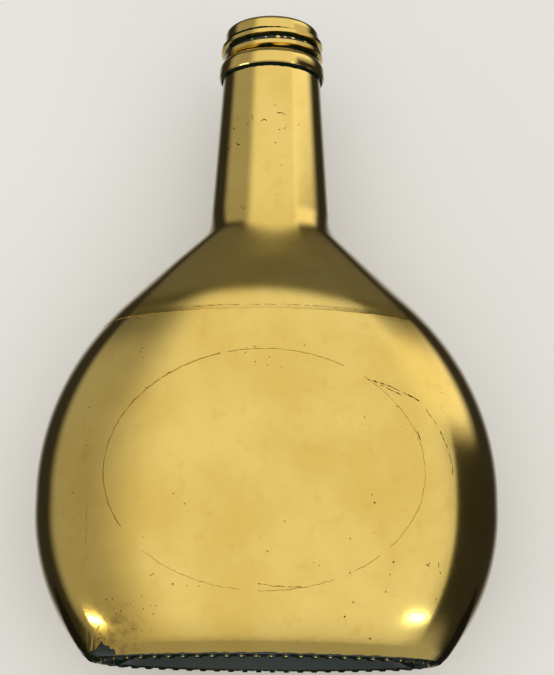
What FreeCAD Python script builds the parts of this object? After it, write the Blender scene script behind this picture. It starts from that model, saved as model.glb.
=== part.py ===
import FreeCAD, Part
import math
import os

# Flattened round wine bottle, gilded with metal leaf.
# It stands on its base at height zero, its neck points up (+Z), its front faces -Y.

# Overall
body_width = 116.0
body_depth = 58.0
overall_height = 169.0

# Front outline: two big arcs joined by a short straight belt, then a straight shoulder
belt_foot_height = 38.5
belt_height = 3.5
front_low_radius = 57.0
front_high_radius = 67.0
front_shoulder_angle = 46.0
front_root_radius = 10.0

# Side outline: a nearly flat panel, a tighter shoulder bend, then a slope into the neck
side_low_radius = 89.0
side_panel_radius = 190.0
side_panel_angle = 12.8
side_shoulder_radius = 45.0
side_shoulder_angle = 26.0
side_root_radius = 52.0

# Cross sections are ovals of four tangent arcs that meet at a corner angle from the depth axis
round_corner_angle = 45.0
flat_corner_angle = 24.0
flat_section_share = 0.5

# Neck
neck_foot_radius = 15.7
neck_foot_height = 113.0
neck_top_radius = 13.0
finish_height = 14.6

# Glass
wall = 3.0
floor_thickness = 5.0
heel_radius = 4.5
inner_heel_radius = 6.0
punt_rise = 3.0
bearing_width = 3.4

# Slope of the punt from its rim to its crown, as shares of the rim's half depth and of the rise
punt_slope_shares = [(0.26, 0.5), (0.42, 0.83), (0.6, 1.0)]

# Knurled bearing ring
knurl_pitch = 3.45
knurl_height = 0.45
knurl_foot_width = 1.9
knurl_top_width = 1.2
knurl_margin = 0.5

# Finish of the mouth
bore_radius = 9.0
bore_length = 17.0
bore_flare_length = 6.0
bore_flare_angle = 12.0
bead_radius = 14.0
bead_height = 4.6
bead_edge_radius = 1.5
bead_top_slope = 0.7
thread_land_radius = 12.45
lip_edge_radius = 1.3
mouth_edge_radius = 0.8
rounding_chords = 3

# Metal leaf: a sheet each for front, back and neck, a band on the bead and one on the lip
leaf_thickness = 0.15
leaf_clearance = 0.3
leaf_foot_height = 1.2
leaf_seam_height = 85.0
leaf_side_seam = 43.0
leaf_neck_gap = 0.9
lip_leaf_height = 4.2

# Oval paper label under the leaf of the front
label_width = 77.0
label_height = 59.0
label_centre_height = 43.0
label_thickness = 0.14
label_clearance = 0.08

# Spacing of the drawn sections, and how far a cut runs past what it cuts
section_spacing = 5.0
overrun = 0.6

# Worked out from the sizes above
glass_inset = leaf_thickness + leaf_clearance
bead_foot_height = overall_height - finish_height
bore_foot_height = overall_height - bore_length


def tangent_chain(half_size, low_radius, bends, root_radius):
    """Half size of the body against height, as a chain of tangent arcs and lines."""
    taper = neck_taper()
    neck_angle = math.atan(taper)
    neck_reach = neck_foot_radius + taper * neck_foot_height + root_radius / math.cos(neck_angle)
    belt_top = belt_foot_height + belt_height
    pieces = [("arc", 0.0, belt_foot_height, half_size - low_radius, belt_foot_height, low_radius, 1)]
    pieces.append(("line", belt_foot_height, belt_top, half_size, belt_foot_height, 0.0))
    x, z, angle = half_size, belt_top, 0.0
    for radius, end_angle in bends:
        centre_x = x - radius * math.cos(angle)
        centre_z = z - radius * math.sin(angle)
        # A bend ends early where the arc at the neck's root already touches it
        gap = (neck_reach - centre_x - taper * centre_z) * math.cos(neck_angle)
        touch = neck_angle + math.acos(min(gap / (radius + root_radius), 1.0))
        turn = max(angle, min(math.radians(end_angle), touch))
        end_z = centre_z + radius * math.sin(turn)
        pieces.append(("arc", z, end_z, centre_x, centre_z, radius, 1))
        x, z, angle = centre_x + radius * math.cos(turn), end_z, turn
    slope = math.tan(angle)
    meet = (x + slope * z - neck_foot_radius - taper * neck_foot_height) / (slope - taper)
    tangent = root_radius * math.tan((angle - neck_angle) / 2)
    start_z = meet - tangent * math.cos(angle)
    end_z = meet + tangent * math.cos(neck_angle)
    pieces.append(("line", z, start_z, x, z, slope))
    start_x = x - slope * (start_z - z)
    centre_x = start_x + root_radius * math.cos(angle)
    centre_z = start_z + root_radius * math.sin(angle)
    pieces.append(("arc", start_z, end_z, centre_x, centre_z, root_radius, -1))
    top = bead_foot_height + overrun
    pieces.append(("line", end_z, top, neck_foot_radius, neck_foot_height, taper))
    return pieces


def neck_taper():
    """Loss of radius per height along the neck."""
    return (neck_foot_radius - neck_top_radius) / (bead_foot_height - neck_foot_height)


def chain_size(pieces, height):
    """Half size given by a tangent chain at a height."""
    for piece in pieces:
        if height <= piece[2]:
            break
    if piece[0] == "line":
        return piece[3] - piece[5] * (height - piece[4])
    reach = piece[5] ** 2 - (height - piece[4]) ** 2
    return piece[3] + piece[6] * math.sqrt(max(reach, 0.0))


front_chain = tangent_chain(
    body_width / 2, front_low_radius, [(front_high_radius, front_shoulder_angle)], front_root_radius
)
side_chain = tangent_chain(
    body_depth / 2,
    side_low_radius,
    [(side_panel_radius, side_panel_angle), (side_shoulder_radius, side_shoulder_angle)],
    side_root_radius,
)


def oval_wire(height, half_width, half_depth, inset):
    """Oval of four tangent arcs at a height, drawn in by an inset square to its edge."""
    flatness = (1 - half_depth / half_width) / (1 - flat_section_share)
    corner = math.radians(round_corner_angle + (flat_corner_angle - round_corner_angle) * flatness)
    across, along = math.sin(corner), math.cos(corner)
    side_centre = (half_width - half_depth) / (across + along - 1) * across
    side_radius = half_width - side_centre - inset
    corner_x = side_centre + side_radius * across
    corner_y = side_radius * along
    width, depth = half_width - inset, half_depth - inset
    corners = [(-corner_x, -corner_y), (corner_x, -corner_y), (corner_x, corner_y), (-corner_x, corner_y)]
    middles = [(0, -depth), (width, 0), (0, depth), (-width, 0)]
    edges = []
    for index, middle in enumerate(middles):
        start = FreeCAD.Vector(*corners[index], height)
        end = FreeCAD.Vector(*corners[(index + 1) % len(corners)], height)
        edges.append(Part.Arc(start, FreeCAD.Vector(*middle, height), end).toShape())
    return Part.Wire(edges)


def body_wire(height, inset):
    """Oval of the body or neck at a height, drawn in from the gilded surface."""
    half_width = chain_size(front_chain, height)
    half_depth = min(chain_size(side_chain, height), half_width)
    return oval_wire(height, half_width, half_depth, inset)


def section_heights(low, high):
    """Evenly spaced heights of the sections between two levels."""
    count = math.ceil((high - low) / section_spacing)
    return [low + (high - low) * index / count for index in range(count + 1)]


def envelope(inset, low):
    """Solid inside the gilded surface from a level to just above the bead's foot."""
    heights = section_heights(0.0, bead_foot_height + overrun)
    heights[0] = low
    return Part.makeLoft([body_wire(height, inset) for height in heights], True, False)


def round_foot(solid, height, radius):
    """Rounds the edge of a solid's flat foot."""
    edges = [
        edge
        for face in solid.Faces
        if face.BoundBox.ZMax < height + overrun / 2 and face.BoundBox.ZLength < overrun / 2
        for edge in face.Edges
    ]
    return solid.makeFillet(radius, edges)


def turn(outline):
    """Solid turned about the neck's axis from (radius, height) points."""
    points = [FreeCAD.Vector(radius, 0, height) for radius, height in outline]
    face = Part.Face(Part.makePolygon(points + points[:1]))
    return face.revolve(FreeCAD.Vector(0, 0, 0), FreeCAD.Vector(0, 0, 1), 360)


def quarter(radius, height, rounding, start_angle):
    """Points of a rounded edge about a centre, drawn with a few chords."""
    steps = [start_angle + 90 * index / rounding_chords for index in range(rounding_chords + 1)]
    angles = [math.radians(step) for step in steps]
    return [(radius + rounding * math.cos(step), height + rounding * math.sin(step)) for step in angles]


def finish_outline(inset):
    """Outside of the mouth, from under the bead up to the lip, as (radius, height) points."""
    land = thread_land_radius - inset
    foot = bead_foot_height + inset
    shoulder = bead_foot_height + bead_height - inset
    edge = bead_edge_radius - inset
    bead_centre = bead_radius - inset - edge
    rounding = lip_edge_radius - inset
    lip_centre = overall_height - inset - rounding
    outline = [(land, foot)]
    outline += quarter(bead_centre, foot + edge, edge, -90)
    outline += quarter(bead_centre, shoulder - edge, edge, 0)
    outline.append((land, shoulder + bead_top_slope))
    return outline + quarter(land - rounding, lip_centre, rounding, 0)


def finish_solid(inset):
    """Full round solid of the mouth, reaching down inside the neck."""
    outline = finish_outline(inset)
    foot_radius, foot = outline[0]
    core = foot_radius - overrun
    axis_foot = bead_foot_height - bead_height
    return turn(outline + [(0, outline[-1][1]), (0, axis_foot), (core, axis_foot), (core, foot)])


def cavity():
    """Hollow of the body and lower neck, whose wall thickens towards the bore."""
    flare_foot = bore_foot_height - bore_flare_length
    thickening = neck_top_radius - glass_inset - bore_radius - wall
    wires = []
    for height in section_heights(floor_thickness, flare_foot):
        neck_share = max(height - neck_foot_height, 0.0) / (bore_foot_height - neck_foot_height)
        wires.append(body_wire(height, glass_inset + wall + thickening * neck_share))
    return round_foot(Part.makeLoft(wires, True, False), floor_thickness, inner_heel_radius)


def mouth_bore():
    """Bore of the mouth, rounded at the lip and flared where it meets the hollow."""
    top = overall_height - glass_inset
    flare_foot = bore_foot_height - bore_flare_length - overrun
    flare = (bore_foot_height - flare_foot) * math.tan(math.radians(bore_flare_angle))
    rim = bore_radius + mouth_edge_radius
    outline = [(0, flare_foot), (bore_radius + flare, flare_foot), (bore_radius, bore_foot_height)]
    outline += quarter(rim, top - mouth_edge_radius, mouth_edge_radius, 90)[::-1]
    return turn(outline + [(rim, top + overrun), (0, top + overrun)])


def heel_reach(low_radius):
    """How far the rounded heel runs in from the edge of the foot."""
    lean = math.asin(belt_foot_height / low_radius)
    return heel_radius / math.tan((math.pi / 2 + lean) / 2)


def flat_size():
    """Half width and half depth of the flat of the foot, out to where the rounded heel ends."""
    half_width = chain_size(front_chain, 0.0) - heel_reach(front_low_radius)
    half_depth = chain_size(side_chain, 0.0) - heel_reach(side_low_radius)
    return half_width, half_depth


def bearing_wire(height, inwards):
    """Oval on the flat of the foot, drawn in from where the heel ends."""
    return oval_wire(height, *flat_size(), glass_inset + inwards)


def punt():
    """Shallow recess with a rounded slope that lifts the middle of the base off the table."""
    rim_width, rim_depth = [size - glass_inset - bearing_width for size in flat_size()]
    wires = [bearing_wire(height, bearing_width) for height in (knurl_height - overrun, knurl_height)]
    for inward_share, rise_share in punt_slope_shares:
        inward = inward_share * rim_depth
        height = knurl_height + rise_share * punt_rise
        wires.append(oval_wire(height, rim_width - inward, rim_depth - inward, 0.0))
    return Part.makeLoft(wires, True, True)


def knurled_foot():
    """Thin plate on whose underside short radial bars run all round the bearing ring."""
    half_ring = bearing_width / 2
    middle = bearing_wire(0.0, half_ring)
    count = round(middle.Length / knurl_pitch)
    reach = half_ring - knurl_margin
    profile = [
        (-knurl_top_width / 2, 0.0),
        (knurl_top_width / 2, 0.0),
        (knurl_foot_width / 2, knurl_height),
        (-knurl_foot_width / 2, knurl_height),
    ]
    plate = Part.makeLoft([bearing_wire(knurl_height, 0.0), bearing_wire(2 * knurl_height, 0.0)], True, True)
    bars = []
    spots = middle.discretize(Number=count + 1)
    for index in range(count):
        ahead = spots[(index + 1) % count] - spots[index - 1]
        heading = math.degrees(math.atan2(ahead.y, ahead.x))
        outline = [FreeCAD.Vector(x, -reach, z) for x, z in profile]
        face = Part.Face(Part.makePolygon(outline + outline[:1]))
        bar = face.extrude(FreeCAD.Vector(0, 2 * reach, 0))
        bar.rotate(FreeCAD.Vector(0, 0, 0), FreeCAD.Vector(0, 0, 1), heading)
        bar.translate(spots[index])
        bars.append(bar)
    return plate.fuse(bars)


def glass_bottle():
    """Hollow glass with its finish, punt and knurled bearing ring."""
    body = round_foot(envelope(glass_inset, knurl_height), knurl_height, heel_radius)
    body = body.fuse(knurled_foot()).cut(punt())
    body = body.fuse(finish_solid(glass_inset))
    return body.cut(cavity()).cut(mouth_bore())


def slab(low, high):
    """Block across the whole bottle between two heights."""
    block = Part.makeBox(body_width, body_depth, high - low)
    block.translate(FreeCAD.Vector(-body_width / 2, -body_depth / 2, low))
    return block


def leaf_sheets():
    """Sheets of leaf on front, back and neck, each a skin that ends at its seams."""
    outer = round_foot(envelope(0.0, 0.0), 0.0, heel_radius)
    inner = round_foot(envelope(leaf_thickness, 0.0), 0.0, heel_radius - leaf_thickness)
    below = slab(leaf_foot_height, leaf_seam_height)
    front = Part.makeBox(body_width / 2 + leaf_side_seam, body_depth, leaf_seam_height)
    front.translate(FreeCAD.Vector(-leaf_side_seam, -body_depth, 0))
    spaces = {
        "leaf_neck": slab(leaf_seam_height, bead_foot_height - leaf_neck_gap),
        "leaf_front": below.common(front),
        "leaf_back": below.cut(front),
    }
    return {name: outer.common(space).cut(inner) for name, space in spaces.items()}


def turned_leaf(kept):
    """Thin band of leaf that follows part of the mouth's outside."""
    shell = finish_solid(0.0).cut(finish_solid(leaf_thickness))
    return shell.common(kept)


def leaf_bead():
    """Band of leaf round the locking bead."""
    ring = Part.makeCylinder(bead_radius + overrun, bead_height)
    core = Part.makeCylinder(neck_top_radius + leaf_clearance, bead_height)
    band = ring.cut(core)
    band.translate(FreeCAD.Vector(0, 0, bead_foot_height))
    return turned_leaf(band)


def leaf_lip():
    """Band of leaf on the lip, from above the thread to the edge of the bore."""
    ring = Part.makeCylinder(bead_radius + overrun, lip_leaf_height + overrun)
    core = Part.makeCylinder(bore_radius + mouth_edge_radius, lip_leaf_height + overrun)
    band = ring.cut(core)
    band.translate(FreeCAD.Vector(0, 0, overall_height - lip_leaf_height))
    return turned_leaf(band)


def front_label():
    """Oval of paper that follows the front of the glass."""
    inner = glass_inset - label_clearance
    oval = Part.Ellipse(FreeCAD.Vector(0, 0, 0), label_width / 2, label_height / 2)
    face = Part.Face(Part.Wire([oval.toShape()]))
    stamp = face.extrude(FreeCAD.Vector(0, 0, body_depth))
    stamp.rotate(FreeCAD.Vector(0, 0, 0), FreeCAD.Vector(1, 0, 0), 90)
    stamp.translate(FreeCAD.Vector(0, 0, label_centre_height))
    return envelope(inner - label_thickness, 0.0).common(stamp).cut(envelope(inner, 0.0))


def main():
    """Builds each piece and writes it to its own file."""
    pieces = {"glass_bottle": glass_bottle(), "front_label": front_label()}
    pieces.update(leaf_sheets())
    pieces["leaf_bead"] = leaf_bead()
    pieces["leaf_lip"] = leaf_lip()
    os.makedirs("parts", exist_ok=True)
    for name, shape in pieces.items():
        shape.exportStep(f"parts/{name}.step")
        print(name, len(shape.Solids), shape.isValid(), round(shape.Volume, 1))


main()
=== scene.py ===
import math
import random

import bpy
from mathutils import Matrix, Quaternion, Vector, noise


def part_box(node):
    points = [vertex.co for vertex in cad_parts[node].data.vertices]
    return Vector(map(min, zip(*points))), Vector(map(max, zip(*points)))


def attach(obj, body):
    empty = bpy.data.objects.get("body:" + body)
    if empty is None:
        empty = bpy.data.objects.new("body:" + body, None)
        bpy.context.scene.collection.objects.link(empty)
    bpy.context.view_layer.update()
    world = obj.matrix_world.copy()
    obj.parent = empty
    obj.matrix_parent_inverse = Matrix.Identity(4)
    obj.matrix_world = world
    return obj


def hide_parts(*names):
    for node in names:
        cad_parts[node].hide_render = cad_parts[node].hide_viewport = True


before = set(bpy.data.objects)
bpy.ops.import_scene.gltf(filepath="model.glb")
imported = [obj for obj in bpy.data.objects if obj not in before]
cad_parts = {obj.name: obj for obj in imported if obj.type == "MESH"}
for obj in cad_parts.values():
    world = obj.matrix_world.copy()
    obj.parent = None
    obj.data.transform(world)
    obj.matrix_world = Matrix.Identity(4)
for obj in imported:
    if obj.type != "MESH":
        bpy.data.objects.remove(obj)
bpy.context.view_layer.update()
MM = 0.001


# Glass bottle: one blown piece of dark green glass. It shows where leaf is missing: in the grooves of
# the thread, inside the mouth and under the base.
glass_colour = (0.012, 0.030, 0.014, 1.0)
glass_roughness = 0.07
glass_ior = 1.52
glass_clearness = 0.35


def add(tree, kind, **sockets):
    """Adds a shader node. A socket's value is a number, a colour or another node's socket."""
    node = tree.nodes.new("ShaderNode" + kind)
    for name, value in sockets.items():
        socket = node.inputs[name.replace("_", " ")]
        if isinstance(value, bpy.types.NodeSocket):
            tree.links.new(value, socket)
        else:
            socket.default_value = value
    return node


def calc(tree, operation, *values):
    """Math node on numbers or sockets; gives its output."""
    node = tree.nodes.new("ShaderNodeMath")
    node.operation = operation
    for socket, value in zip(node.inputs, values):
        if isinstance(value, bpy.types.NodeSocket):
            tree.links.new(value, socket)
        else:
            socket.default_value = value
    return node.outputs[0]


def ramp(tree, value, low, high):
    """Smooth step from 0 at low to 1 at high."""
    node = add(tree, "MapRange", Value=value, From_Min=low, From_Max=high)
    node.interpolation_type = "SMOOTHSTEP"
    return node.outputs["Result"]


def blend(tree, share, first, second):
    """Mixes two colours; a share of 1 gives the second."""
    node = tree.nodes.new("ShaderNodeMix")
    node.data_type = "RGBA"
    sockets = {"Factor": share, "A": first, "B": second}
    for socket in node.inputs:
        if socket.enabled and socket.name in sockets:
            value = sockets[socket.name]
            if isinstance(value, bpy.types.NodeSocket):
                tree.links.new(value, socket)
            else:
                socket.default_value = value
    return next(socket for socket in node.outputs if socket.enabled)


def new_material(name):
    """Material with its node tree and its Principled shader."""
    material = bpy.data.materials.new(name)
    material.use_nodes = True
    return material, material.node_tree, material.node_tree.nodes["Principled BSDF"]


def dress(piece, material):
    """Gives a piece one material all over."""
    piece.data.materials.clear()
    piece.data.materials.append(material)


bottle_glass, tree, shader = new_material("bottle_glass")
place = add(tree, "TexCoord").outputs["Object"]
seeds = add(tree, "TexNoise", Vector=place, Scale=220.0, Detail=3.0, Roughness=0.6)
ripple = add(tree, "TexNoise", Vector=place, Scale=90.0, Detail=2.0)
film = ramp(tree, seeds.outputs["Fac"], 0.45, 0.75)
tree.links.new(blend(tree, film, glass_colour, (0.03, 0.045, 0.02, 1.0)), shader.inputs["Base Color"])
rough = add(tree, "MapRange", Value=film, To_Min=glass_roughness, To_Max=0.3)
tree.links.new(rough.outputs["Result"], shader.inputs["Roughness"])
bump = add(tree, "Bump", Height=ripple.outputs["Fac"], Strength=0.25, Distance=0.2 * MM)
tree.links.new(bump.outputs["Normal"], shader.inputs["Normal"])
shader.inputs["IOR"].default_value = glass_ior
shader.inputs["Transmission Weight"].default_value = glass_clearness

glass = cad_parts["glass_bottle"]
dress(glass, bottle_glass)


# Metal leaf: thin sheets of satin brass leaf laid over the glass, burnished by hand, with fine cracks,
# pinholes and brown size showing through. All sheets share this finish.
deep_gold = (0.75, 0.50, 0.08, 1.0)
bright_gold = (0.85, 0.61, 0.14, 1.0)
worn_gold = (0.66, 0.36, 0.03, 1.0)
size_brown = (0.16, 0.08, 0.01, 1.0)
stain_brown = (0.42, 0.26, 0.05, 1.0)
stain_place = (-36.0 * MM, -17.0 * MM, 4.0 * MM)
stain_reach = 10.0 * MM
stain_core = 0.2 * stain_reach
worn_share = 0.35
speck_size = 0.09
speck_from, speck_full = 0.56, 0.66
grain_strength, grain_depth = 0.12, 0.05 * MM
leaf_roughness = 0.145
roughness_spread = 0.03
leaf_thickness = 0.15 * MM
smooth_sheet = math.radians(40)
smooth_edges = math.radians(35)

gold_leaf, tree, shader = new_material("gold_leaf")
place = add(tree, "TexCoord").outputs["Object"]
cloud = add(tree, "TexNoise", Vector=place, Scale=38.0, Detail=4.0, Roughness=0.55)
tone = ramp(tree, cloud.outputs["Fac"], 0.3, 0.7)
grain = add(tree, "TexNoise", Vector=place, Scale=1400.0, Detail=3.0, Roughness=0.6)
gold = blend(tree, tone, deep_gold, bright_gold)
rubbed = add(tree, "TexNoise", Vector=place, Scale=240.0, Detail=4.0, Roughness=0.65)
worn = calc(tree, "MULTIPLY", ramp(tree, rubbed.outputs["Fac"], 0.5, 0.8), worn_share)
gold = blend(tree, worn, gold, worn_gold)
away = add(tree, "VectorMath", Vector=place)
away.operation = "DISTANCE"
away.inputs[1].default_value = stain_place
near = ramp(tree, away.outputs["Value"], stain_reach, stain_core)
blotch = add(tree, "TexNoise", Vector=place, Scale=420.0, Detail=3.0, Roughness=0.6)
stain = calc(tree, "MULTIPLY", near, ramp(tree, blotch.outputs["Fac"], 0.38, 0.68))
gold = blend(tree, stain, gold, stain_brown)
pits = add(tree, "TexVoronoi", Vector=place, Scale=330.0)
speck = calc(tree, "LESS_THAN", pits.outputs["Distance"], speck_size)
chosen = add(tree, "TexNoise", Vector=place, Scale=60.0, Detail=2.0)
speck = calc(tree, "MULTIPLY", speck, ramp(tree, chosen.outputs["Fac"], speck_from, speck_full))
tree.links.new(blend(tree, speck, gold, size_brown), shader.inputs["Base Color"])
shader.inputs["Metallic"].default_value = 1.0
shader.inputs["Coat Weight"].default_value = 1.0
shader.inputs["Coat Roughness"].default_value = 0.08
smoothest, roughest = leaf_roughness - roughness_spread, leaf_roughness + roughness_spread
rough = add(tree, "MapRange", Value=grain.outputs["Fac"], To_Min=smoothest, To_Max=roughest)
tree.links.new(rough.outputs["Result"], shader.inputs["Roughness"])
bump = add(tree, "Bump", Height=grain.outputs["Fac"], Strength=grain_strength, Distance=grain_depth)
tree.links.new(bump.outputs["Normal"], shader.inputs["Normal"])


# Sheets of leaf on the body: front, back and neck. The body's outline is a chain of arcs from the front
# and one from the side, and its cross section is an oval of four tangent arcs that turns round in the neck.
half_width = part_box("leaf_back")[1].x
half_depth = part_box("leaf_back")[1].y
neck_leaf_rise = 0.45 * MM
neck_leaf_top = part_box("leaf_neck")[1].z + neck_leaf_rise
seam_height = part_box("leaf_neck")[0].z
leaf_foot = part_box("leaf_front")[0].z
belt_foot = 38.5 * MM
belt_top = 42.0 * MM
front_low_radius = 57.0 * MM
front_bends = [(67.0 * MM, 46.0)]
front_root_radius = 10.0 * MM
side_low_radius = 89.0 * MM
side_bends = [(190.0 * MM, 12.8), (45.0 * MM, 26.0)]
side_root_radius = 52.0 * MM
neck_foot_radius = 15.7 * MM
neck_foot_height = 113.0 * MM
neck_top_radius = 13.0 * MM
bead_foot = 154.4 * MM
round_corner = 45.0
flat_corner = 24.0
narrow_share = 0.11
heel_radius = 4.5 * MM
side_seam = 43.0 * MM
swell, swell_height, swell_above, swell_below = 0.85 * MM, 100.0 * MM, 12.0 * MM, 20.0 * MM
swell_turn = 25.0


def tangent_chain(half_size, low_radius, bends, root_radius):
    """Half size against height, as (top height, base, centre height, radius or slope, side) steps."""
    steps = [(belt_foot, half_size - low_radius, belt_foot, low_radius, 1)]
    steps.append((belt_top, half_size, 0.0, 0.0, 0))
    x, z, angle = half_size, belt_top, 0.0
    for radius, degrees in bends:
        turn = math.radians(degrees)
        centre_x = x - radius * math.cos(angle)
        centre_z = z - radius * math.sin(angle)
        steps.append((centre_z + radius * math.sin(turn), centre_x, centre_z, radius, 1))
        x, z, angle = centre_x + radius * math.cos(turn), centre_z + radius * math.sin(turn), turn
    taper = (neck_foot_radius - neck_top_radius) / (bead_foot - neck_foot_height)
    slope = math.tan(angle)
    meet = (x + slope * z - neck_foot_radius - taper * neck_foot_height) / (slope - taper)
    tangent = root_radius * math.tan((angle - math.atan(taper)) / 2)
    start, end = meet - tangent * math.cos(angle), meet + tangent * math.cos(math.atan(taper))
    steps.append((start, x, z, slope, 0))
    start_x = x - slope * (start - z)
    centre_x, centre_z = start_x + root_radius * math.cos(angle), start + root_radius * math.sin(angle)
    steps.append((end, centre_x, centre_z, root_radius, -1))
    steps.append((1.0, neck_foot_radius, neck_foot_height, taper, 0))
    return steps


def chain_size(steps, height):
    """Half size given by a chain at a height."""
    top, base, centre, radius, side = next(step for step in steps if height <= step[0])
    if side == 0:
        return base - radius * (height - centre)
    return base + side * math.sqrt(max(radius**2 - (height - centre) ** 2, 0.0))


front_chain = tangent_chain(half_width, front_low_radius, front_bends, front_root_radius)
side_chain = tangent_chain(half_depth, side_low_radius, side_bends, side_root_radius)


class Oval:
    """Cross section of the body at a height: centres and radii of its flat and its narrow arcs."""

    def __init__(self, height):
        width = chain_size(front_chain, height)
        depth = min(chain_size(side_chain, height), width)
        self.corner = math.radians(round_corner + (flat_corner - round_corner) * 2 * (1 - depth / width))
        spread = math.sin(self.corner) + math.cos(self.corner) - 1
        self.side_centre = (width - depth) / spread * math.sin(self.corner)
        self.side_radius = width - self.side_centre
        self.flat_radius = self.side_radius + (width - depth) / spread
        self.flat_centre = self.flat_radius - depth

    def point(self, angle):
        """Point whose outward normal has this angle from the front (-Y), turned towards +X."""
        across, along = math.sin(angle), -math.cos(angle)
        if abs(math.sin(angle)) <= math.sin(self.corner):
            side = 1 if along > 0 else -1
            return self.flat_radius * across, self.flat_radius * along - side * self.flat_centre
        side = 1 if across > 0 else -1
        return side * self.side_centre + self.side_radius * across, self.side_radius * along

    def angle_at(self, share):
        """Normal angle at a share of the way round by the front: 0 at the left side, 0.5 at the right."""
        stops = [-math.pi / 2, -self.corner, self.corner, math.pi / 2, math.pi - self.corner]
        stops += [math.pi + self.corner, 3 * math.pi / 2]
        shares = [0.0, narrow_share, 0.5 - narrow_share, 0.5, 0.5 + narrow_share, 1 - narrow_share, 1.0]
        share %= 1.0
        index = next(index for index in range(6) if share <= shares[index + 1])
        part = (share - shares[index]) / (shares[index + 1] - shares[index])
        return stops[index] + part * (stops[index + 1] - stops[index])

    def front_angle(self, across):
        """Normal angle of the front at a place across it."""
        if abs(across) <= self.flat_radius * math.sin(self.corner):
            return math.asin(across / self.flat_radius)
        beyond = (abs(across) - self.side_centre) / self.side_radius
        return math.copysign(math.asin(min(beyond, 1.0)), across)

    def share_of_seam(self):
        """Share of the way round at which the upright seam on the left of the front lies."""
        angle = self.front_angle(-side_seam)
        if abs(angle) <= self.corner:
            return 0.25 + (0.25 - narrow_share) * angle / self.corner
        return narrow_share * (angle + math.pi / 2) / (math.pi / 2 - self.corner)


def root_swell(height, angle):
    """How far the leaf, built up in the hollow under the neck, stands off the glass in front and behind."""
    reach = swell_above if height > swell_height else swell_below
    share = max(1 - ((height - swell_height) / reach) ** 2, 0.0)
    return swell * share**2 * math.cos(angle + math.radians(swell_turn)) ** 2


def skin_point(height, angle, lift=0.0, oval=None):
    """Point on the gilded surface, or lifted off it, with the heel's rounding at the foot."""
    oval = oval or Oval(height)
    x, y = oval.point(angle)
    normal_x, normal_y = math.sin(angle), -math.cos(angle)
    lift += root_swell(height, angle)
    if height < heel_radius:
        foot_x, foot_y = Oval(0.0).point(angle)
        belt_x, belt_y = Oval(heel_radius).point(angle)
        rise = (belt_x - foot_x) * normal_x + (belt_y - foot_y) * normal_y
        lean = math.atan2(rise, heel_radius)
        tangent = heel_radius / math.tan((math.pi / 2 + lean) / 2)
        if height < tangent * math.cos(lean):
            foot = foot_x * normal_x + foot_y * normal_y - tangent
            reach = foot + math.sqrt(max(height * (2 * heel_radius - height), 0.0))
            lift += reach - (x * normal_x + y * normal_y)
    return Vector((x + normal_x * lift, y + normal_y * lift, height))


def new_grid(name, columns, rows):
    """Flat grid, one metre square, that a sheet of leaf is made from."""
    bpy.ops.object.select_all(action="DESELECT")
    bpy.ops.mesh.primitive_grid_add(x_subdivisions=columns, y_subdivisions=rows, size=1.0, location=(0, 0, 0))
    sheet = bpy.context.object
    sheet.name = name
    return sheet


def finish_sheet(sheet, thickness=leaf_thickness):
    """Joins what meets, turns the faces outwards and gives the sheet its thickness, inwards."""
    bpy.ops.object.mode_set(mode="EDIT")
    bpy.ops.mesh.select_all(action="SELECT")
    bpy.ops.mesh.remove_doubles(threshold=0.002 * MM)
    bpy.ops.object.mode_set(mode="OBJECT")
    faces = sheet.data.polygons
    if sum(face.normal.x * face.center.x + face.normal.y * face.center.y for face in faces) < 0:
        sheet.data.flip_normals()
    solid = sheet.modifiers.new("thickness", "SOLIDIFY")
    solid.thickness = thickness
    solid.offset = -1.0
    bpy.ops.object.modifier_apply(modifier="thickness")
    bpy.ops.object.shade_smooth_by_angle(angle=smooth_sheet)
    dress(sheet, gold_leaf)
    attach(sheet, "root")


ragged = 0.5 * MM
rag_scale = 900.0
coarse_share = 0.7
top_tear_share = 0.6
lap = 1.0 * MM
lap_lift = 0.08 * MM
side_lap = -0.3
foot_reach = 0.55 * MM
notch_outline = [(-46.0, 0.5), (-44.0, 0.8), (-42.8, 1.1), (-41.8, 1.7), (-40.7, 2.2)]
notch_outline += [(-40.3, 3.0), (-40.1, 3.9)]
notch_outline += [(-39.7, 3.1), (-39.1, 2.7), (-37.4, 2.0), (-36.3, 1.3), (-35.6, 0.6)]


def torn(x, y, z, depth=ragged):
    """Uneven edge of hand-laid leaf."""
    coarse = noise.noise(Vector((x, y, z)) * rag_scale / 4)
    fine = noise.noise(Vector((x, y, z)) * rag_scale)
    return depth * (coarse_share * coarse + (1 - coarse_share) * fine)


def notch(x):
    """Height of the tear in the foot of the front sheet at a place across."""
    for (first, low), (last, high) in zip(notch_outline, notch_outline[1:]):
        if first * MM <= x < last * MM:
            return (low + (high - low) * (x / MM - first) / (last - first)) * MM - foot_reach
    return 0.0


def body_sheet(name, node, columns, rows, first_share, last_share, low, high, lap_height=0.0):
    """Sheet between two shares of the way round and two heights."""
    sheet = new_grid(name, columns, rows)
    for vertex in sheet.data.vertices:
        across, up = vertex.co.x + 0.5, vertex.co.y + 0.5
        oval = Oval(low + (high - low) * up)
        share = first_share(oval) + (last_share(oval) - first_share(oval)) * across
        place = skin_point(low, Oval(low).angle_at(share))
        foot = low + abs(torn(*place))
        if low == foot_reach and place.y < 0:
            foot += notch(place.x)
        top = high - abs(torn(place.y, place.x, high)) * top_tear_share
        height = foot + (top - foot) * up
        oval = Oval(height)
        share = first_share(oval) + (last_share(oval) - first_share(oval)) * across
        angle = oval.angle_at(share)
        lift = 0.0
        if lap_height:
            tuck = side_lap + (1 - side_lap) * math.cos(angle) ** 2
            lift = lap_lift * tuck * max(1 - (height - low) / lap_height, 0.0)
        vertex.co = skin_point(height, angle, lift, oval)
    finish_sheet(sheet)
    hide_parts(node)
    return sheet


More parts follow.
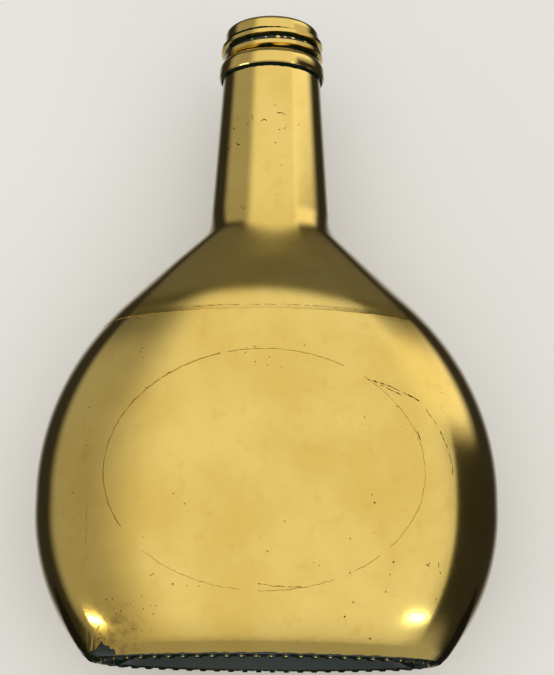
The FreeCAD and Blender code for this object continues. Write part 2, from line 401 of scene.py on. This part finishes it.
def left_seam(oval):
    """Share of the way round at which the back sheet ends on the front."""
    return 1.0 + oval.share_of_seam()


body_sheet("front_leaf", "leaf_front", 300, 64, Oval.share_of_seam, lambda oval: 0.5, foot_reach, seam_height)
body_sheet("back_leaf", "leaf_back", 240, 70, lambda oval: 0.5, left_seam, foot_reach, seam_height)
neck_low = seam_height - lap
whole_round = (lambda oval: 0.0, lambda oval: 1.0)
body_sheet("neck_leaf", "leaf_neck", 240, 80, *whole_round, neck_low, neck_leaf_top, lap)


# Label: the old oval paper label stays on the front, under the gilding. The leaf over it is a skin that
# stands a little proud, so that the label's edge shows as a fine step.
paper_colour = (0.62, 0.55, 0.40, 1.0)
paper_stain = (0.42, 0.33, 0.19, 1.0)
label_step = 0.13 * MM
label_skin = 0.11 * MM

label_paper, tree, shader = new_material("label_paper")
place = add(tree, "TexCoord").outputs["Object"]
fibres = add(tree, "TexNoise", Vector=place, Scale=900.0, Detail=4.0, Roughness=0.7)
stained = blend(tree, fibres.outputs["Fac"], paper_colour, paper_stain)
tree.links.new(stained, shader.inputs["Base Color"])
shader.inputs["Roughness"].default_value = 0.85
bump = add(tree, "Bump", Height=fibres.outputs["Fac"], Strength=0.3, Distance=0.05 * MM)
tree.links.new(bump.outputs["Normal"], shader.inputs["Normal"])

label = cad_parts["front_label"]
dress(label, label_paper)

label_low, label_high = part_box("front_label")
label_centre = (label_low.z + label_high.z) / 2
label_half_width = (label_high.x - label_low.x) / 2
label_half_height = (label_high.z - label_low.z) / 2
skin_shift = (-0.6 * MM, 0.65 * MM)
skin_share = 0.993


def front_point(across, height, lift=0.0):
    """Point on the gilded front at a place across it and a height."""
    oval = Oval(height)
    return skin_point(height, oval.front_angle(across), lift, oval)


label_leaf = new_grid("label_leaf", 96, 72)
for vertex in label_leaf.data.vertices:
    u, v = 2 * vertex.co.x, 2 * vertex.co.y
    across = label_half_width * u * math.sqrt(1 - v * v / 2)
    height = label_centre + label_half_height * skin_share * v * math.sqrt(1 - u * u / 2)
    vertex.co = front_point(across + skin_shift[0], height + skin_shift[1], label_step)
finish_sheet(label_leaf, label_skin)
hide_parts("leaf_front")


# Mouth: the leaf on the bead and on the lip is two turned bands, pressed over the glass and torn below,
# where the dark glass shows.
mouth_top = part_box("leaf_lip")[1].z
lip_leaf_foot = mouth_top - 3.55 * MM
bead_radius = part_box("leaf_bead")[1].x
bead_shoulder = 157.3 * MM
bead_top = 159.4 * MM
bead_edge = 1.5 * MM
land_radius = 12.45 * MM
lip_edge = 1.3 * MM
lip_inner_radius = 9.9 * MM
bead_tear = 0.5 * MM
lip_tear = 0.5 * MM
band_steps = 180


def rounding(centre_radius, centre_height, across, up, first, last, count=6):
    """Points of an arc or oval in the outline of a band, from a first to a last angle in degrees."""
    angles = [math.radians(first + (last - first) * step / count) for step in range(count + 1)]
    return [(centre_radius + across * math.cos(a), centre_height + up * math.sin(a)) for a in angles]


def turned_band(name, node, outline, tear):
    """Band with an outline of (radius, height) points from its torn lower edge upwards."""
    bpy.ops.object.select_all(action="DESELECT")
    radius, height = outline[0]
    bpy.ops.mesh.primitive_circle_add(vertices=band_steps, radius=radius, location=(0, 0, height))
    band = bpy.context.object
    band.name = name
    bpy.ops.object.transform_apply(location=True, rotation=False, scale=False)
    bpy.ops.object.mode_set(mode="EDIT")
    for next_radius, next_height in outline[1:]:
        bpy.ops.mesh.extrude_region_move(TRANSFORM_OT_translate={"value": (0, 0, next_height - height)})
        ratio = next_radius / radius
        bpy.ops.transform.resize(value=(ratio, ratio, 1.0), center_override=(0, 0, 0))
        radius, height = next_radius, next_height
    bpy.ops.object.mode_set(mode="OBJECT")
    foot_radius, foot = outline[0]
    for vertex in band.data.vertices[:band_steps]:
        rip = abs(torn(*vertex.co, tear))
        out = 1 + (outline[1][0] - foot_radius) / foot_radius * min(rip / tear, 1.0)
        vertex.co = (vertex.co.x * out, vertex.co.y * out, foot + rip * (outline[1][1] > foot + tear))
    finish_sheet(band)
    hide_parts(node)
    return band


bead_centre = bead_radius - bead_edge
bead_outline = rounding(bead_centre, bead_foot + bead_edge, bead_edge, bead_edge, -46, 0)
bead_wide, bead_tall = bead_radius - land_radius, bead_top - bead_shoulder
bead_outline += rounding(land_radius, bead_shoulder, bead_wide, bead_tall, 0, 90, 8)
turned_band("bead_leaf", "leaf_bead", bead_outline, bead_tear)
lip_centre = mouth_top - lip_edge
lip_outline = [(land_radius, lip_leaf_foot), (land_radius, lip_leaf_foot + 1.5 * MM)]
lip_outline += rounding(land_radius - lip_edge, lip_centre, lip_edge, lip_edge, 0, 90)
lip_outline.append((lip_inner_radius, mouth_top))
turned_band("lip_leaf", "leaf_lip", lip_outline, lip_tear)


# Screw thread: a ridge of glass moulded round the land of the mouth, right-handed, which fades out at
# both ends. The leaf caught only on its crest, as a torn strip, and in crumbs in the groove.
thread_pitch = 3.175 * MM
thread_radius = 13.45 * MM
thread_root = 11.8 * MM
thread_foot_width = 2.3 * MM
thread_crest_width = 1.0 * MM
thread_front_height = 164.1 * MM
thread_first, thread_last = -560, 55
thread_step = 5
thread_fade = 60
crest_lift = 0.1 * MM
crest_tear = 0.5 * MM
crest_reach = 0.25 * MM
crest_thickness = 0.09 * MM


def helix_height(degrees):
    """Height of the ridge's middle at an angle from +X; the front is at -90."""
    return thread_front_height + thread_pitch * (degrees + 90) / 360


bpy.ops.object.select_all(action="DESELECT")
bpy.ops.mesh.primitive_plane_add(size=1.0, location=(0, 0, 0), rotation=(math.pi / 2, 0, 0))
thread = bpy.context.object
thread.name = "screw_thread"
ridge_depth = thread_radius - thread_root
thread.scale = (ridge_depth, thread_foot_width, 1.0)
bpy.ops.object.transform_apply(location=True, rotation=True, scale=True)
for vertex in thread.data.vertices:
    if vertex.co.x > 0:
        vertex.co.z *= thread_crest_width / thread_foot_width
bpy.ops.object.mode_set(mode="EDIT")
bpy.ops.mesh.select_all(action="SELECT")
bpy.ops.mesh.delete(type="ONLY_FACE")
bpy.ops.mesh.select_all(action="SELECT")
bpy.ops.mesh.subdivide(number_cuts=3)
bpy.ops.mesh.select_all(action="SELECT")
bpy.ops.transform.translate(value=((thread_root + thread_radius) / 2, 0, 0))
bpy.ops.object.mode_set(mode="OBJECT")
corners = len(thread.data.vertices)
turn_count = (thread_last - thread_first) // thread_step
screw = thread.modifiers.new("turns", "SCREW")
screw.axis = "Z"
screw.angle = math.radians(thread_last - thread_first)
screw.screw_offset = helix_height(thread_last) - helix_height(thread_first)
screw.steps = screw.render_steps = turn_count
bpy.ops.object.modifier_apply(modifier="turns")
rings = len(thread.data.vertices) // corners
first_turn = Matrix.Rotation(math.radians(thread_first), 4, "Z")
thread.data.transform(Matrix.Translation((0, 0, helix_height(thread_first))) @ first_turn)
for vertex in thread.data.vertices:
    ring = vertex.index // corners
    room = min(ring, rings - 1 - ring) * thread_step / thread_fade
    share = min(room, 1.0) ** 2 * (3 - 2 * min(room, 1.0))
    radius = math.hypot(vertex.co.x, vertex.co.y)
    lowered = thread_root + (radius - thread_root) * share
    vertex.co.x *= lowered / radius
    vertex.co.y *= lowered / radius
bpy.ops.object.mode_set(mode="EDIT")
bpy.ops.mesh.select_all(action="DESELECT")
bpy.ops.mesh.select_non_manifold()
bpy.ops.mesh.fill_holes(sides=0)
bpy.ops.mesh.select_all(action="SELECT")
bpy.ops.mesh.normals_make_consistent(inside=False)
bpy.ops.object.mode_set(mode="OBJECT")

bpy.ops.object.duplicate()
crest = bpy.context.object
crest.name = "thread_leaf"
crest_from = land_radius + crest_reach
bpy.ops.object.mode_set(mode="EDIT")
bpy.ops.mesh.select_all(action="DESELECT")
bpy.ops.object.mode_set(mode="OBJECT")
for face in crest.data.polygons:
    face.select = math.hypot(face.center.x, face.center.y) < crest_from
bpy.ops.object.mode_set(mode="EDIT")
bpy.ops.mesh.delete(type="FACE")
bpy.ops.mesh.select_all(action="DESELECT")
bpy.ops.mesh.select_non_manifold()
bpy.ops.object.mode_set(mode="OBJECT")
for vertex in crest.data.vertices:
    radius = math.hypot(vertex.co.x, vertex.co.y)
    if vertex.select:
        vertex.co.z += torn(*vertex.co, crest_tear)
    vertex.co.x *= (radius + crest_lift) / radius
    vertex.co.y *= (radius + crest_lift) / radius
finish_sheet(crest, crest_thickness)

crumb_radius = 12.10 * MM
crumb_thickness = 0.05 * MM
crumb_corners = 9
crumb_rise = 0.12 * MM
crumb_rag = 0.45
crumbs = [(-25.5, 0.8, 0.35), (-7.5, 0.5, 0.4), (7.4, 1.3, 0.6), (16.3, 0.7, 0.5), (27.0, 1.1, 0.5)]
crumbs += [(47.0, 1.2, 0.6), (55.0, 1.0, 0.5), (-62.0, 0.7, 0.4), (118.0, 1.0, 0.5)]
crumbs += [(171.0, 0.8, 0.6), (204.0, 1.2, 0.5)]
pieces = []
for degrees, wide, tall in crumbs:
    bpy.ops.object.select_all(action="DESELECT")
    bpy.ops.mesh.primitive_circle_add(vertices=crumb_corners, radius=MM / 2, fill_type="TRIFAN")
    crumb = bpy.context.object
    middle = helix_height(degrees - 90) - thread_pitch / 2 + crumb_rise
    for vertex in crumb.data.vertices:
        spot = Vector((degrees, vertex.co.x / MM * 3, vertex.co.y / MM * 3))
        rough_edge = 1 + crumb_rag * noise.noise(spot)
        angle = math.radians(degrees) + vertex.co.x * wide * rough_edge / crumb_radius
        height = middle + vertex.co.y * tall * rough_edge
        vertex.co = (crumb_radius * math.sin(angle), -crumb_radius * math.cos(angle), height)
    pieces.append(crumb)
for crumb in pieces:
    crumb.select_set(True)
bpy.ops.object.join()
leaf_crumbs = bpy.context.object
leaf_crumbs.name = "leaf_crumbs"
finish_sheet(leaf_crumbs, -crumb_thickness)

bpy.ops.object.select_all(action="DESELECT")
thread.select_set(True)
bpy.context.view_layer.objects.active = thread
bpy.ops.object.shade_smooth_by_angle(angle=smooth_edges)
dress(thread, bottle_glass)
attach(thread, "root")


# Foot: the leaf caught only on the outer ends of the knurls under the bottle, as small bright caps.
tip_width, tip_depth, tip_height = 0.6 * MM, 0.4 * MM, 0.35 * MM
tip_rise = 0.2 * MM
tip_edge = 0.08 * MM
ground = 0.02 * MM

bar_ends = {}
corners = glass.data.vertices
for face in glass.data.polygons:
    a, b, c = (corners[index].co for index in face.vertices)
    if face.normal.z < -0.9 and max(a.z, b.z, c.z) < ground:
        sides = sorted([(a, b), (b, c), (c, a)], key=lambda side: (side[0] - side[1]).length)
        middle = (sides[2][0] + sides[2][1]) / 2
        along = sides[1][1] - sides[1][0]
        if along.dot(middle) < 0:
            along = -along
        bar_ends[(round(middle.x / ground), round(middle.y / ground))] = (middle + along / 2, along)

bpy.ops.object.select_all(action="DESELECT")
bpy.ops.mesh.primitive_cube_add(size=1.0, location=(0, 0, 0))
tip = bpy.context.object
tip.scale = (tip_width, tip_depth, tip_height)
bpy.ops.object.transform_apply(location=False, rotation=False, scale=True)
bpy.ops.object.mode_set(mode="EDIT")
bpy.ops.mesh.select_all(action="SELECT")
bpy.ops.mesh.bevel(offset=tip_edge, segments=2, affect="EDGES")
bpy.ops.object.mode_set(mode="OBJECT")
tips = [tip]
for index, (end, along) in enumerate(bar_ends.values()):
    one = tip
    if index:
        one = bpy.data.objects.new("tip", tip_mesh.copy())
        bpy.context.scene.collection.objects.link(one)
        tips.append(one)
    else:
        tip_mesh = tip.data.copy()
    turn = Matrix.Rotation(math.atan2(along.y, along.x) - math.pi / 2, 4, "Z")
    one.data.transform(Matrix.Translation((end.x, end.y, tip_rise)) @ turn)
for one in tips:
    one.select_set(True)
bpy.context.view_layer.objects.active = tip
bpy.ops.object.join()
tip.name = "foot_tips"
bpy.ops.object.shade_smooth_by_angle(angle=smooth_edges)
dress(tip, gold_leaf)
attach(tip, "root")


# Cracks and pits: where the leaf tore or lapped as it was laid, brown size shows as hair lines. Some run
# beside the label's edge and along the seams, and short ones and pits are strewn by a seeded draw.
dark_size = (0.085, 0.036, 0.003, 1.0)
gold_size = (0.36, 0.20, 0.02, 1.0)
rim_size = (0.52, 0.29, 0.03, 1.0)
line_lift = -0.2
crack_step = 0.4 * MM
crack_wander = 0.22 * MM
wander_scale, fine_wander_scale = 700, 2600
uneven_scale, uneven_swing, uneven_loss = 900, 1.3, 0.2
thinnest, thickest, tip_share = 0.3, 1.5, 0.25
pit_spread = 0.45
rim_uneven = 0.4
size_stain_scale = 500.0

# Cracks beside the label's edge: angles from its right end, distances off the edge and width, in mm.
edge_cracks = [(50, 32, 0.0, 4.5, 0.28), (46, 36, 0.5, 2.5, 0.20), (31, 0, 4.5, 5.5, 0.20)]
edge_cracks.append((20, 14, 0.5, 0.5, 0.32))
edge_tears = [(-92, -76, -1.5, 0.0, 0.26), (98, 93, -1.0, 1.0, 0.20)]
edge_step = 2

# Areas of the front for strewn marks: left, right, foot and top in millimetres, and how many.
crack_areas = {
    "neck": (-12, 2, 131, 142, 13),
    "left_foot": (-42, -26, 3, 8, 5),
    "right_foot": (38, 45, 6, 22, 6),
}
pit_areas = {
    "neck": (-8, 9, 114, 138, 8),
    "left_shoulder": (-35, -30, 70, 75, 4),
    "label_top": (-14, 9, 68, 75, 7),
    "right_shoulder": (18, 45, 48, 67, 8),
    "label_foot": (7, 33, 14, 29, 7),
    "left_side": (-54, -38, 38, 65, 6),
    "left_foot": (-41, -26, 4, 14, 20),
    "right_foot": (35, 46, 6, 17, 6),
}
crack_lengths = (1.0, 3.2)
crack_widths = (0.20, 0.36)
crack_bend = 0.8
pit_sizes = (0.26, 0.50)
seam_line_width = 0.15
seam_ends = (-26, 26)
upright_ends = (22, 46)
seam_line_step = 6

# Both are seeded, so that each run gives the same marks.
draw_seed = 11
draw = random.Random(draw_seed)
noise.seed_set(draw_seed)
rim_stretches = [(0, 52, 0.16), (60, 104, 0.20), (106, 209, 0.34), (222, 262, 0.13), (268, 296, 0.17)]
rim_stretches += [(304, 316, 0.17), (321, 360, 0.17)]
rim_step = 3
rim_off = 0.15 * MM


def on_label(x, z):
    """Whether a place on the front lies on the label."""
    across = (x - skin_shift[0]) / label_half_width
    up = (z - label_centre - skin_shift[1]) / (label_half_height * skin_share)
    return across**2 + up**2 < 1


def add_line(lines, points, width, uneven=1.0):
    """Hair line on the front through (across, height) points, tapered at its ends."""
    path = []
    for (x, z), (next_x, next_z) in zip(points, points[1:]):
        length = math.hypot(next_x - x, next_z - z)
        count = max(round(length / crack_step), 1)
        path += [(x + (next_x - x) * k / count, z + (next_z - z) * k / count) for k in range(count)]
    path.append(points[-1])
    spline = lines.splines.new("POLY")
    spline.points.add(len(path) - 1)
    for index, (point, (x, z)) in enumerate(zip(spline.points, path)):
        drift = noise.noise_vector(Vector((x, z, 0.0)) * wander_scale) * crack_wander
        drift += noise.noise_vector(Vector((x, z, 1.0)) * fine_wander_scale) * crack_wander / 2
        inner = 0 < index < len(path) - 1
        swing = uneven_swing * noise.noise(Vector((x, z, 1.0)) * uneven_scale)
        strength = 1 + uneven * (swing - uneven_loss)
        point.radius = width / 2 * (min(max(strength, thinnest), thickest) if inner else tip_share)
        x, z = x + drift.x * inner, z + drift.y * inner
        lift = line_lift * width + label_step * on_label(x, z)
        point.co = (*front_point(x, z, lift), 1.0)


def size_lines(name, colour, lines, dots=(), rims=(), shine=0.0):
    """Mesh of hair lines and pits of size in one tone."""
    curve = bpy.data.curves.new(name, "CURVE")
    curve.dimensions = "3D"
    curve.bevel_depth = 1.0
    curve.bevel_resolution = 1
    curve.use_fill_caps = True
    for width, points in lines:
        add_line(curve, [(x * MM, z * MM) for x, z in points], width * MM)
    for width, points in rims:
        add_line(curve, points, width, rim_uneven)
    for size, x, z in dots:
        turn = 9 * noise.noise(Vector((x, z, 2.5)))
        out_x, out_z = pit_spread * size * math.cos(turn), pit_spread * size * math.sin(turn)
        spots = [(x - out_x, z - out_z), (x, z + out_x / 2), (x + out_x, z + out_z)]
        add_line(curve, [(x * MM, z * MM) for x, z in spots], size * MM, 0.0)
    drawn = bpy.data.objects.new(name, curve)
    bpy.context.scene.collection.objects.link(drawn)
    bpy.ops.object.select_all(action="DESELECT")
    drawn.select_set(True)
    bpy.context.view_layer.objects.active = drawn
    bpy.ops.object.convert(target="MESH")
    drawn = bpy.context.object
    material, tree, shader = new_material(name + "_size")
    place = add(tree, "TexCoord").outputs["Object"]
    stain = add(tree, "TexNoise", Vector=place, Scale=size_stain_scale, Detail=2.0)
    darker = tuple(0.5 * channel for channel in colour[:3]) + (1.0,)
    tree.links.new(blend(tree, stain.outputs["Fac"], colour, darker), shader.inputs["Base Color"])
    shader.inputs["Roughness"].default_value = 0.6 - 0.2 * shine
    shader.inputs["Metallic"].default_value = shine
    shader.inputs["Specular IOR Level"].default_value = 0.1
    dress(drawn, material)
    bpy.ops.object.shade_smooth()
    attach(drawn, "root")
    return drawn


def rim_point(degrees, off=rim_off):
    """Place off the edge of the label at an angle from its right end."""
    angle = math.radians(degrees)
    rim = 1 + off / label_half_height
    x = label_half_width * rim * math.cos(angle)
    z = label_half_height * skin_share * rim * math.sin(angle)
    return x + skin_shift[0], label_centre + z + skin_shift[1]


def edge_line(first, last, near, far, width):
    """Line beside the label's edge whose distance goes evenly from near to far."""
    count = max(abs(last - first) // edge_step, 2)
    line = []
    for index in range(count + 1):
        share = index / count
        x, z = rim_point(first + (last - first) * share, (near + (far - near) * share) * MM)
        line.append((x / MM, z / MM))
    return width, line


def strew(areas):
    """Places drawn at random over areas of the front."""
    for left, right, foot, top, count in areas.values():
        for _ in range(count):
            yield draw.uniform(left, right), draw.uniform(foot, top)


def short_crack(x, z):
    """Short bent crack from a place, with a drawn direction, length and width."""
    lean = draw.uniform(0, math.pi)
    bend = draw.uniform(-crack_bend, crack_bend)
    step = draw.uniform(*crack_lengths) / 2
    middle = (x + step * math.cos(lean), z + step * math.sin(lean))
    end = (middle[0] + step * math.cos(lean + bend), middle[1] + step * math.sin(lean + bend))
    return draw.uniform(*crack_widths), [(x, z), middle, end]


dark_cracks = [edge_line(*crack) for crack in edge_cracks]
dark_cracks += [short_crack(x, z) for x, z in strew(crack_areas)]
pits = [(draw.uniform(*pit_sizes), x, z) for x, z in strew(pit_areas)]
rim_tear = [edge_line(*tear) for tear in edge_tears]
cross_seam = [(x, seam_height / MM) for x in range(*seam_ends, seam_line_step)]
upright_seam = [(-side_seam / MM, z) for z in range(*upright_ends, seam_line_step)]
fine_lines = [(seam_line_width, cross_seam), (seam_line_width, upright_seam)]
rim_lines = []
for first, last, width in rim_stretches:
    turns = [*range(first, last, rim_step), last]
    rim_lines.append((width * MM, [rim_point(degrees) for degrees in turns]))
size_lines("dark_cracks", dark_size, dark_cracks, pits)
size_lines("fine_lines", gold_size, fine_lines)
size_lines("label_rim", rim_size, rim_tear, rims=rim_lines, shine=0.3)


# Stage: a pale sheet that the bottle lies back on and a pale floor that it stands on. Both show only
# from their front, and don't shade or colour the bottle.
wall_colour = (0.90, 0.885, 0.82, 1.0)
floor_colour = (0.90, 0.90, 0.85, 1.0)
stage_glow = 0.14
stage_size = 8.0
wall_gap = 0.4 * MM
lie_back = (math.pi / 2, 0, 0)


def one_sided(name, colour):
    """Matt pale surface that can be seen through from behind."""
    material, tree, shader = new_material(name)
    shader.inputs["Roughness"].default_value = 1.0
    shader.inputs["Specular IOR Level"].default_value = 0.0
    shader.inputs["Base Color"].default_value = colour
    shader.inputs["Emission Color"].default_value = (1.0, 1.0, 1.0, 1.0)
    shader.inputs["Emission Strength"].default_value = stage_glow
    behind = add(tree, "NewGeometry").outputs["Backfacing"]
    clear = add(tree, "BsdfTransparent")
    mix = tree.nodes.new("ShaderNodeMixShader")
    tree.links.new(behind, mix.inputs[0])
    tree.links.new(shader.outputs[0], mix.inputs[1])
    tree.links.new(clear.outputs[0], mix.inputs[2])
    tree.links.new(mix.outputs[0], tree.nodes["Material Output"].inputs["Surface"])
    return material


def stage_sheet(name, centre, turn, size, colour):
    """Large flat sheet of the stage."""
    bpy.ops.object.select_all(action="DESELECT")
    bpy.ops.mesh.primitive_plane_add(size=size, location=centre, rotation=turn)
    sheet = bpy.context.object
    sheet.name = name
    sheet.data.materials.append(one_sided(name + "_paint", colour))
    sheet.visible_diffuse = False
    sheet.visible_shadow = False
    return sheet


wall = stage_sheet("wall", (0.0, half_depth + wall_gap, 0.0), lie_back, stage_size, wall_colour)
wall.visible_glossy = False
floor = stage_sheet("floor", (0.0, 0.0, 0.0), (0, 0, 0), stage_size, floor_colour)
floor.visible_glossy = False


# Light: a plain studio in neutral white: a large soft box in front, a dim wall on the left, a soft box high
# on the right and one behind, with dark between them and overhead. Two low strip lamps light the heel.
dark_level = 0.03
# No azimuth or elevation reaches 1000 degrees, so a box has no edge where it is given such angles.
all_round = (-1001, -1000, 1000, 1001)
back_box = (0.55, (135, 165, 1000, 1001), (-40, -25, 30, 60))

# Brightness, then the azimuths and elevations at which each box starts to rise, is full, and falls again.
soft_boxes = {
    "floor": (0.40, all_round, (-1001, -1000, -40, -25)),
    "left_wall": (0.40, (-110, -90, -60, -40), (-40, -20, 40, 55)),
    "front_box": (0.94, (-60, -30, 50, 60), (-50, -30, 45, 60)),
    "right_box": (1.20, (45, 55, 90, 115), (20, 30, 40, 55)),
    "ceiling": (0.15, all_round, (50, 60, 1000, 1001)),
}

world = bpy.data.worlds.new("studio")
bpy.context.scene.world = world
world.use_nodes = True
tree = world.node_tree
direction = add(tree, "SeparateXYZ", Vector=add(tree, "TexCoord").outputs["Generated"])
front_part = calc(tree, "MULTIPLY", direction.outputs["Y"], -1.0)
azimuth = calc(tree, "ARCTAN2", direction.outputs["X"], front_part)
elevation = calc(tree, "ARCSINE", direction.outputs["Z"])


def band(value, first, last):
    """Mask that rises from 0 at a first angle to 1 at a last one, in degrees."""
    return ramp(tree, value, math.radians(first), math.radians(last))


def lay(sky, level, turns, rises, turn=azimuth):
    """Lays a soft-edged box of white light over the sky."""
    mask = calc(tree, "MULTIPLY", band(turn, turns[0], turns[1]), band(turn, turns[3], turns[2]))
    mask = calc(tree, "MULTIPLY", mask, band(elevation, rises[0], rises[1]))
    mask = calc(tree, "MULTIPLY", mask, band(elevation, rises[3], rises[2]))
    return blend(tree, mask, sky, (level, level, level, 1.0))


sky = lay((dark_level, dark_level, dark_level, 1.0), *back_box, calc(tree, "ABSOLUTE", azimuth))
for box in soft_boxes.values():
    sky = lay(sky, *box)
tree.links.new(sky, tree.nodes["Background"].inputs["Color"])


def lamp(name, turn, rise, width, height, watts, colour=(1.0, 1.0, 1.0), tilt=0.0, distance=1.0):
    """Rectangular lamp at an azimuth from the front, an elevation and a tilt, in degrees."""
    azimuth, elevation = math.radians(turn), math.radians(rise)
    across = math.cos(elevation)
    away = Vector((math.sin(azimuth) * across, -math.cos(azimuth) * across, math.sin(elevation)))
    data = bpy.data.lights.new(name, "AREA")
    data.shape = "RECTANGLE"
    data.size, data.size_y = width, height
    data.energy = watts
    data.color = colour
    made = bpy.data.objects.new(name, data)
    bpy.context.scene.collection.objects.link(made)
    made.location = Vector((0.0, 0.0, 0.05)) + away * distance
    made.rotation_mode = "QUATERNION"
    made.rotation_quaternion = away.to_track_quat("Z", "Y") @ Quaternion((0, 0, 1), math.radians(tilt))


daylight = (0.78, 0.92, 1.0)
lamp("low_lamp_left", -70, -31.5, 0.36, 0.035, 0.55, tilt=-7)
lamp("low_lamp_right", 51, -30.5, 0.09, 0.045, 0.11, daylight)

# A dark card behind and below the foot, which the camera doesn't see, keeps the base of the bottle dark.
card_place = (0.0, 0.062, -0.021)
card_size = (0.34, 0.04)
card_glow = (0.008, 0.008, 0.008, 1.0)
bpy.ops.object.select_all(action="DESELECT")
bpy.ops.mesh.primitive_plane_add(size=1.0, location=card_place, rotation=(math.pi / 2, 0, 0))
card = bpy.context.object
card.name = "card"
card.scale = (card_size[0], card_size[1], 1.0)
card_paint, tree, shader = new_material("card_paint")
glow = add(tree, "Emission", Color=card_glow)
tree.links.new(glow.outputs[0], tree.nodes["Material Output"].inputs["Surface"])
card.data.materials.append(card_paint)
card.visible_camera = card.visible_diffuse = card.visible_shadow = False


# Camera: at the photograph's place, low in front of the base and looking up along the front.
camera_place = (0.00215, -0.469, -0.0549)
camera_rise = 16.46
camera_roll = 0.62
lens_millimetres = 101.33
film_millimetres = 36.0

camera_data = bpy.data.cameras.new("camera")
camera_data.lens = lens_millimetres
camera_data.sensor_width = film_millimetres
camera = bpy.data.objects.new("camera", camera_data)
bpy.context.scene.collection.objects.link(camera)
turn = Matrix.Rotation(math.radians(90 + camera_rise), 4, "X")
turn = turn @ Matrix.Rotation(math.radians(camera_roll), 4, "Z")
camera.matrix_world = Matrix.Translation(camera_place) @ turn
bpy.context.scene.camera = camera
bpy.context.scene.view_settings.view_transform = "Standard"
